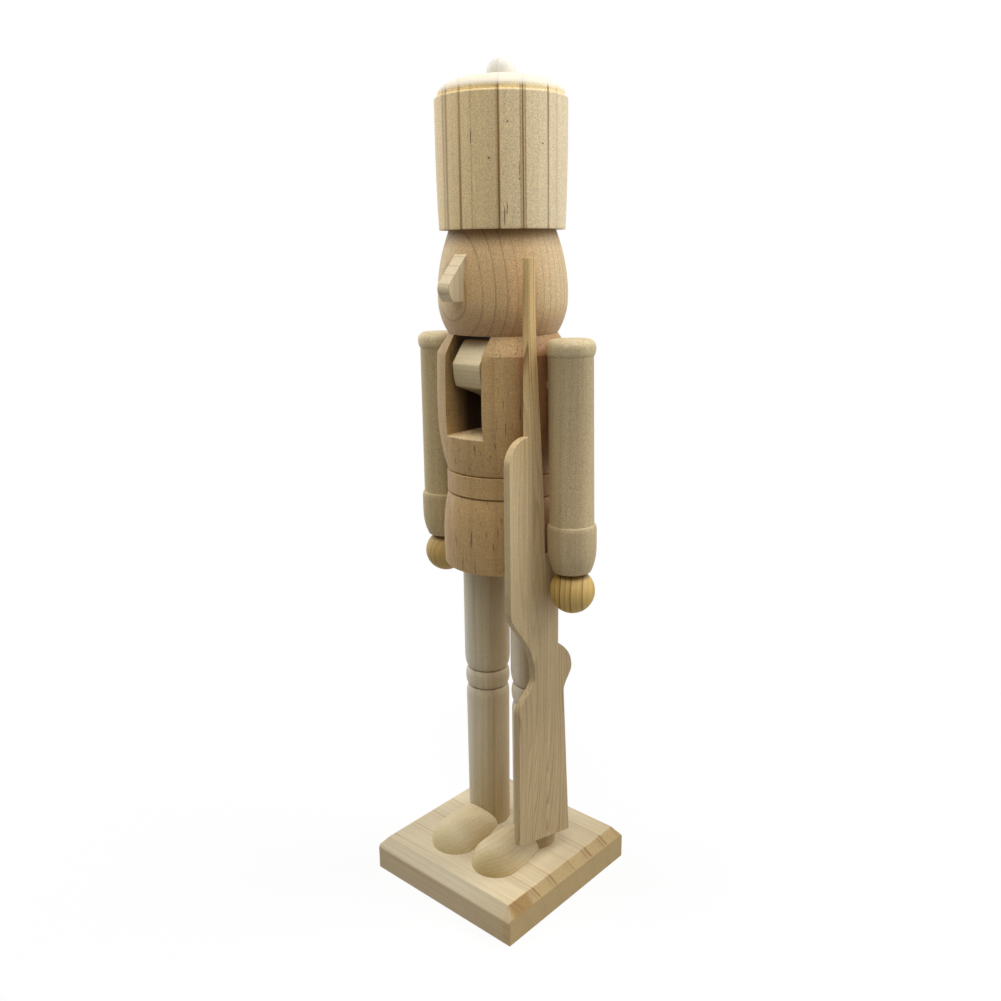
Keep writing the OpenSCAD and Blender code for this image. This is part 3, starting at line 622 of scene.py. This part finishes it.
# The last tint is painted shade on the board's narrow front edge.
wood("rifle_birch", paint(212, 188, 144), paint(138, 100, 52), grain=UP, across=ALONG_Y + ALONG_X * 0.8,
     centre=middle("rifle"), ring=1.5, pith=120, lines=SOFT, wander=44, luck_share=0.85, fibre=0.25,
     speckle=0.3,
     tints=((UP, 215, 275, (1.0, 0.90, 0.68)),
            going_down(190, 125, (0.66, 0.64, 0.59)),
            going_down(105, 70, (1.17, 1.16, 1.16)),
            (-ALONG_Y, rifle_front - 0.6, rifle_front - 0.2, (0.80, 0.80, 0.78))),
     line_tints=(going_down(262, 245, (0.35, 0.35, 0.35)),
                 going_down(150, 120, (2.1, 2.1, 2.1))))

# %% [markdown]
# Shoes, base board, knob and dowels
#
# The shoes point their end grain forward, which shows as fine arcs, and their front left gets painted
# shade. The base board has its grain from side to side, so its left edge is end grain, darker than the
# front. On the bevel above that edge the lines are cut slantwise and stand out, and one patch of late wood
# lies near the front corner. The board's front face gets painted shade. The knob and the dowels are plain
# pale birch.

# %% Make the wood of the smaller pieces
LEFT_BEVEL = (ALONG_X, 40, 41)
LEFT_FACE = (ALONG_X, 44.2, 44.7)
BEVEL_PATCH = ((ALONG_X, 40.2, 40.8), (UP, 12.9, 13.3), (-ALONG_Y, 31.5, 34.5), (ALONG_Y, -47.5, -45.0))
PATCH_YELLOW = (0.72, 0.61, 0.41, 1)


def bevel_patch(place):
    """White, with a patch of dark yellow late wood on the base board's left bevel, near its front corner."""
    return within(place, BEVEL_PATCH).blend(WHITE, PATCH_YELLOW)


# The shoes' tint is painted shade on their front left.
wood("shoe_pine", paint(217, 200, 161), paint(178, 150, 100), grain=ALONG_Y, across=UP - ALONG_X * 0.7,
     centre=middle("left_shoe"), ring=1.7, pith=19, lines=SOFT, line_share=0.32, wander=2,
     end_tint=(0.95, 0.94, 0.84), tints=((ALONG_X - ALONG_Y, 44, 53, (0.82, 0.75, 0.62)),))
# The tint along -ALONG_Y is painted shade on the board's front face.
wood("base_pine", paint(222, 207, 175), paint(166, 130, 80), grain=ALONG_X, across=ALONG_Y + UP * 0.35,
     centre=middle("base_plate"), ring=12, pith=100, lines=PAIRS, line_share=0.36, wander=10, fibre=0.18,
     speckle=0.08, end_tint=(0.71, 0.63, 0.47), marks=bevel_patch,
     tints=((ALONG_X, 12, 38, (0.92, 0.88, 0.80)),
            (-ALONG_Y, 49.5, 50, (0.84, 0.78, 0.69)),
            (ALONG_X, 40.4, 41, (0.95, 0.92, 0.84)),
            (ALONG_X, 44.6, 45.2, (1.05, 1.09, 1.2))),
     line_tints=((*LEFT_BEVEL, (3.2, 3.2, 3.2)), (*LEFT_FACE, (0.15, 0.15, 0.15))))
wood("knob_birch", paint(233, 229, 218), paint(220, 210, 192), grain=UP, across=rightward,
     centre=middle("hat_knob"), ring=4, pith=80, lines=SOFT, line_share=0.5, wander=2, speckle=0.05)
wood("dowel_birch", paint(204, 180, 138), paint(184, 156, 112), grain=UP, across=rightward,
     centre=middle("torso"), ring=4, pith=80, lines=SOFT, line_share=0.5, wander=2)

# %% [markdown]
# Drawn steel
#
# Only the jaw's pin is metal. It hardly shows, but its ends can be seen in the sides of the chest. Drawn
# wire has fine marks along its length and a dull shine, so noise stretched along the pin changes its
# roughness and its grey.

# %% Make the steel
WIRE_STRENGTH = 0.2
WIRE_DEPTH = 0.05 * MM
WIRE_DULLNESS, WIRE_DULLING = 0.3, 0.2


def drawn_steel(name):
    material, start = empty_material(name)
    _, pin_place = blank_place(start, ALONG_X, UP, middle("jaw_pivot_pin"), 0)
    drawn = noise(pin_place, "drawn")
    colour = drawn.blend(paint(140, 140, 142), paint(184, 184, 186))
    sockets = {"Base Color": colour, "Roughness": drawn * WIRE_DULLING + WIRE_DULLNESS, "Metallic": 1.0,
               "Normal": bumps(drawn, WIRE_STRENGTH, WIRE_DEPTH)}
    start.node("ShaderNodeBsdfPrincipled", (), sockets).end("ShaderNodeOutputMaterial")
    return material


pin_steel = drawn_steel("pin_steel")
print("steel", pin_steel.name)

# %% [markdown]
# A lathe
#
# The hat, head, legs, arms and hands are turned: one outline, spun about an axis. Blender's Screw
# modifier could spin it, but a small node tree can ease the outline's corners first, as sandpaper does.
# It bends a flat grid into the turned shape: the grid's columns go round the axis, and its rows follow
# the eased outline.

# %% Build the lathe tree
LATHE_INPUTS = {"Outline": "Geometry", "Segments": "Int", "Edge round": "Float", "Wood": "Material"}
EASE_STEPS = 3
SEAM = 0.005 * MM


def lathe_tree():
    tree = bpy.data.node_groups.new("lathe", "GeometryNodeTree")
    for name, kind in LATHE_INPUTS.items():
        tree.interface.new_socket(name, in_out="INPUT", socket_type="NodeSocket" + kind)
    tree.interface.new_socket("Turned", in_out="OUTPUT", socket_type="NodeSocketGeometry")
    start = Wire(tree)
    outline, segments, ease, material = [start.node("NodeGroupInput", output=name) for name in LATHE_INPUTS]
    curve = start.node("GeometryNodeMeshToCurve", (), {"Mesh": outline})
    eased = start.node("GeometryNodeFilletCurve", {"mode": "POLY"},
                       {"Curve": curve, "Radius": ease, "Count": EASE_STEPS, "Limit Radius": True})
    steps = start.node("GeometryNodeCurveToMesh", (), {"Curve": eased})
    count = start.node("GeometryNodeAttributeDomainSize", (), {"Geometry": steps})
    sheet = start.node("GeometryNodeMeshGrid", (), {"Size X": 1.0, "Size Y": 1.0, "Vertices X": segments + 1,
                                                    "Vertices Y": count})
    spot = start.node("GeometryNodeInputPosition")
    u, v = [start.node("ShaderNodeSeparateXYZ", (), {"Vector": spot}, i) + 0.5 for i in range(2)]
    row = start.maths("ROUND", v * (count - 1))
    step = start.node("GeometryNodeSampleIndex", {"data_type": "FLOAT_VECTOR"},
                      {"Geometry": steps, "Value": spot, "Index": row})
    radius, _, height = [start.node("ShaderNodeSeparateXYZ", (), {"Vector": step}, i) for i in range(3)]
    angle = u * math.tau
    around = start.node("ShaderNodeCombineXYZ", (), {"X": radius * start.maths("COSINE", angle),
                                                     "Y": radius * start.maths("SINE", angle), "Z": height})
    spun = start.node("GeometryNodeSetPosition", (), {"Geometry": sheet, "Position": around})
    closed = start.node("GeometryNodeMergeByDistance", (), {"Geometry": spun, "Distance": SEAM})
    whole = start.node("GeometryNodeRealizeInstances", (), {"Geometry": closed})
    dressed = start.node("GeometryNodeSetMaterial", (), {"Geometry": whole, "Material": material})
    dressed.end("NodeGroupOutput")
    return tree


lathe = lathe_tree()
lathe_sockets = {item.name: item.identifier for item in lathe.interface.items_tree if item.in_out == "INPUT"}
print("lathe inputs", sorted(lathe_sockets))

# %% [markdown]
# Reading an outline
#
# An outline could be typed in again, but the CAD piece already has it, and then both keep exactly the
# same size. So the piece is cut in half by a plane through its axis, like a pencil split lengthwise. The
# cut's outer line, from the bottom to the top, is the outline. Holes for dowels lie close to the axis, so
# the line starts outside them.

# %% Cut outlines from CAD pieces
WELD = 0.002 * MM
ON_PLANE = 0.0005 * MM


def joined_copy(node, placing=Matrix.Identity(4)):
    """A CAD node's mesh in a bmesh, with its loose triangles joined, moved into the placing's own axes."""
    cut = bmesh.new()
    cut.from_mesh(frame["nodes"][node].data)
    bmesh.ops.remove_doubles(cut, verts=cut.verts, dist=WELD)
    cut.transform(placing.inverted())
    return cut


def outline_of(node, placing, side, keep):
    """Points (radius, 0, height) of a turned node's outline on one side, outside the radius keep."""
    cut = joined_copy(node, placing)
    found = bmesh.ops.bisect_plane(cut, geom=cut.verts[:] + cut.edges[:] + cut.faces[:], dist=ON_PLANE,
                                   plane_co=(0, 0, 0), plane_no=UP.cross(side))["geom_cut"]
    links = {}
    for edge in [e for e in found if isinstance(e, bmesh.types.BMEdge)]:
        if min(v.co.dot(side) for v in edge.verts) > keep:
            for v in edge.verts:
                links.setdefault(v, []).append(edge.other_vert(v))
    chain = [min((v for v in links if len(links[v]) == 1), key=lambda v: v.co.z)]
    last = None
    while following := [v for v in links[chain[-1]] if v != last]:
        last = chain[-1]
        chain.append(following[0])
    points = [(v.co.dot(side), 0.0, v.co.z) for v in chain]
    cut.free()
    return [(0.0, 0.0, points[0][2]), *points, (0.0, 0.0, points[-1][2])]


print("outlines join points within", WELD / MM, "mm")

# %% [markdown]
# Turning the pieces
#
# Each outline goes on the lathe, and the result is put back at the piece's own axis. The arms show why
# that axis matters: the left one leans out, because the rifle stands between its hand and the skirt. Its
# axis runs from the middle of the hand's ball to the end of the hand's tenon, which sits inside the cuff.

# %% Turn them
SMOOTH_BELOW = math.radians(35)


def upright_at(point):
    """An upright frame on the floor, below or above a point."""
    return Matrix.Translation((point.x, point.y, 0))


def arm_axis(hand):
    """An upright frame for an arm: its middle in the ball of the hand, its Z along the tenon."""
    low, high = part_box(hand)
    radius = (high.y - low.y) / 2
    ball = Vector(((low.x + high.x) / 2, (low.y + high.y) / 2, low.z + radius))
    ends = [v.co for v in frame["nodes"][hand].data.vertices if (v.co - ball).length > radius + MM]
    tip = sum(ends, Vector()) / len(ends) - ball
    return Matrix.Translation(ball) @ UP.rotation_difference(tip).to_matrix().to_4x4()


def shaped_mesh(blank):
    """The mesh that an object's modifiers make of it. The object itself is deleted."""
    mesh = bpy.data.meshes.new_from_object(blank.evaluated_get(bpy.context.evaluated_depsgraph_get()))
    bpy.data.objects.remove(blank)
    return mesh


def finish_piece(name, mesh, node, body):
    """A finished piece that stands for its CAD node and moves with its body."""
    piece = add_object(name, mesh)
    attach(piece, body)
    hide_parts(node)


def turn(node, placing, side, slot, keep, segments=96, ease=0.4):
    """Turn a CAD node's outline outside a radius. The radius and the ease of its edges are in millimetres."""
    points = outline_of(node, placing, side, keep * MM)
    mesh = bpy.data.meshes.new(node + "_outline")
    mesh.from_pydata(points, [(i, i + 1) for i in range(len(points) - 1)], [])
    blank = add_object(node + "_outline", mesh)
    spin = blank.modifiers.new("lathe", "NODES")
    spin.node_group = lathe
    for name, value in (("Segments", segments), ("Edge round", ease * MM), ("Wood", woods[slot])):
        spin[lathe_sockets[name]] = value
    result = shaped_mesh(blank)
    result.transform(placing)
    shell = bmesh.new()
    shell.from_mesh(result)
    bmesh.ops.recalc_face_normals(shell, faces=shell.faces)
    shell.to_mesh(result)
    shell.free()
    result.shade_smooth()
    result.set_sharp_from_angle(angle=SMOOTH_BELOW)
    finish_piece("turned_" + node, result, node, "figure")
    print("turned", node, len(points), "outline points", len(result.polygons), "faces")


figure_axis = upright_at(axis)
turn("hat", figure_axis, ALONG_Y, "hat_pine", keep=6.4, segments=160, ease=0.3)
turn("hat_knob", figure_axis, ALONG_Y, "knob_birch", keep=0.2, segments=64)
turn("head", figure_axis, ALONG_Y, "head_lime", keep=5.0, segments=160)
for hand_side, outward in (("right", -ALONG_X), ("left", ALONG_X)):
    leg_axis = upright_at(middle(hand_side + "_leg"))
    sleeve_axis = arm_axis(hand_side + "_hand")
    turn(hand_side + "_leg", leg_axis, ALONG_Y, "limb_basswood", keep=3.5)
    turn(hand_side + "_arm", sleeve_axis, outward, "limb_basswood", keep=3.9, ease=0.2)
    turn(hand_side + "_hand", sleeve_axis, outward, "hand_yellow_pine", keep=0.2)

# %% [markdown]
# Sawn and cut pieces
#
# The base, rifle, jaw, nose and shoes are sawn or carved, and the torso has a slot sawn through it. A CAD
# edge is perfectly sharp, and that is what makes a model look false. A copy of each piece gets a small
# bevel on every edge that turns by more than 30 degrees, as a light sanding would leave it. Weighted
# normals keep the large faces flat, so that only the narrow bevels catch the light.

# %% Ease the sawn pieces
FLAT_WITHIN = math.radians(0.2)
EDGE_ANGLE = math.radians(30)
BEVEL_STEPS = 2
FLAT_FACE_WEIGHT = 90


def ease_edges(node, body, slot, width):
    """A copy of a CAD node with bevelled edges. The width is in millimetres."""
    cut = joined_copy(node)
    bmesh.ops.dissolve_limit(cut, angle_limit=FLAT_WITHIN, verts=cut.verts, edges=cut.edges)
    bmesh.ops.recalc_face_normals(cut, faces=cut.faces)
    mesh = bpy.data.meshes.new(node + "_sawn")
    cut.to_mesh(mesh)
    cut.free()
    mesh.shade_smooth()
    rough_piece = add_object(node + "_sawn", mesh)
    sand = rough_piece.modifiers.new("sanded edges", "BEVEL")
    sand.width = width * MM
    sand.segments = BEVEL_STEPS
    sand.limit_method = "ANGLE"
    sand.angle_limit = EDGE_ANGLE
    flat = rough_piece.modifiers.new("flat faces", "WEIGHTED_NORMAL")
    flat.weight = FLAT_FACE_WEIGHT
    result = shaped_mesh(rough_piece)
    result.materials.clear()
    result.materials.append(woods[slot])
    finish_piece("sawn_" + node, result, node, body)
    print("eased", node, len(result.polygons), "faces")


ease_edges("base_plate", "figure", "base_pine", width=0.5)
ease_edges("torso", "figure", "torso_beech", width=0.3)
ease_edges("jaw_lever", "jaw", "jaw_basswood", width=0.4)
ease_edges("nose", "figure", "nose_pine", width=0.3)
ease_edges("rifle", "figure", "rifle_birch", width=0.4)
ease_edges("right_shoe", "figure", "shoe_pine", width=0.3)
ease_edges("left_shoe", "figure", "shoe_pine", width=0.3)

# %% [markdown]
# Hidden pieces
#
# Dowels, the peg and the pin are inside the figure. They keep their CAD shape, and only get their
# material, so that they look right when the figure is taken apart.

# %% Give the hidden pieces their materials
for part in frame["record"]["subparts"]:
    node = frame["nodes"][part["node"]]
    if node.hide_render:
        continue
    node.data.materials.clear()
    node.data.materials.append(woods.get(part["material_slot"], pin_steel))
    print("material on", part["node"])

# %% [markdown]
# Floor and world
#
# The photograph is a cut-out on white. A white room would do that, but it would also throw light at the
# wood from all sides. So the floor and the world are white only where they are seen, directly or in a
# reflection, and they send hardly any light back. Near the base the floor is partly paper, which takes
# the figure's soft shadow.

# %% Make the floor and the world
FLOOR_HALF = 6.0
FLOOR_DROP = 0.2 * MM
PAPER_REACH, WHITE_FROM = 0.06, 0.4
NEAR_GLOW = 0.88
WORLD_LIGHT = 0.04
PAPER_GREY = paint(172, 171, 169)


def seen(start):
    """1 for the rays that show a surface to the camera, and 0 for those that only carry its light."""
    rays = [start.node("ShaderNodeLightPath", output=name)
            for name in ("Is Camera Ray", "Is Glossy Ray", "Is Transmission Ray")]
    return start.maths("MINIMUM", rays[0] + rays[1] + rays[2], 1.0)


def white_floor():
    material, start = empty_material("white_floor")
    direct = seen(start)
    paper = start.node("ShaderNodeBsdfDiffuse", (), {"Color": direct.blend(PAPER_GREY, WHITE)})
    glow = start.node("ShaderNodeEmission", (), {"Color": WHITE, "Strength": 1.0})
    place = start.node("ShaderNodeTexCoord", output="Object")
    away = start.node("ShaderNodeVectorMath", {"operation": "LENGTH"}, {0: place}, "Value")
    glowing = away.ramp((PAPER_REACH, NEAR_GLOW), (WHITE_FROM, 1.0))
    mixed = start.node("ShaderNodeMixShader", (), {0: direct * glowing, 1: paper, 2: glow})
    mixed.end("ShaderNodeOutputMaterial")
    return material


corners = [(x * FLOOR_HALF, y * FLOOR_HALF, 0) for x, y in ((-1, -1), (1, -1), (1, 1), (-1, 1))]
floor_mesh = bpy.data.meshes.new("floor")
floor_mesh.from_pydata(corners, [], [(0, 1, 2, 3)])
floor_mesh.materials.append(white_floor())
floor = add_object("floor", floor_mesh)
floor.location.z = -FLOOR_DROP

world = bpy.data.worlds.new("tent")
bpy.context.scene.world = world
world.use_nodes = True
world.node_tree.nodes.clear()
sky = Wire(world.node_tree)
dim = sky.node("ShaderNodeBackground", (), {"Color": WHITE, "Strength": WORLD_LIGHT})
bright = sky.node("ShaderNodeBackground", (), {"Color": WHITE, "Strength": 1.0})
sky.node("ShaderNodeMixShader", (), {0: seen(sky), 1: dim, 2: bright}).end("ShaderNodeOutputWorld")
print("floor and world made")

# %% [markdown]
# Lamps
#
# The figure stood in a light tent: bright from above and from both sides, and darker from the camera's
# side. One lamp would leave hard shadows, so seven large area lamps stand around it, about a metre away,
# and all of them point at its chest. They are placed from the camera's own right and from the direction
# towards it.

# %% Hang the lamps
CHEST_HEIGHT = 0.22
chest = axis + UP * CHEST_HEIGHT


def lamp(name, place, size, power):
    """An area lamp that points at the chest. Its size is in metres and its power in watts."""
    light = bpy.data.lights.new(name, "AREA")
    light.shape = "RECTANGLE"
    light.size, light.size_y = size
    light.energy = power
    hung = add_object(name, light)
    hung.location = place
    hung.rotation_euler = (chest - place).to_track_quat("-Z", "Y").to_euler()
    print("lamp", name, [round(x, 2) for x in place], power, "W")


lamp("right_wall", axis + rightward * 1.1 + UP * 0.45, size=(1.0, 1.0), power=4.2)
lamp("right_high", axis + rightward * 0.75 + UP * 1.0, size=(0.7, 0.7), power=6.3)
lamp("left_high", axis - rightward * 0.75 + UP * 1.0, size=(0.7, 0.7), power=2.1)
lamp("left_top", axis - rightward * 0.45 + UP * 1.25, size=(0.6, 0.6), power=2.9)
lamp("front_top", axis + toward * 0.45 + UP * 1.25, size=(0.6, 0.6), power=4.3)
lamp("front_high", axis + toward * 0.8 + UP * 1.0, size=(0.7, 0.7), power=2.1)
lamp("back_left", axis - rightward * 0.8 - toward * 0.6 + UP * 0.5, size=(0.7, 0.9), power=3.7)
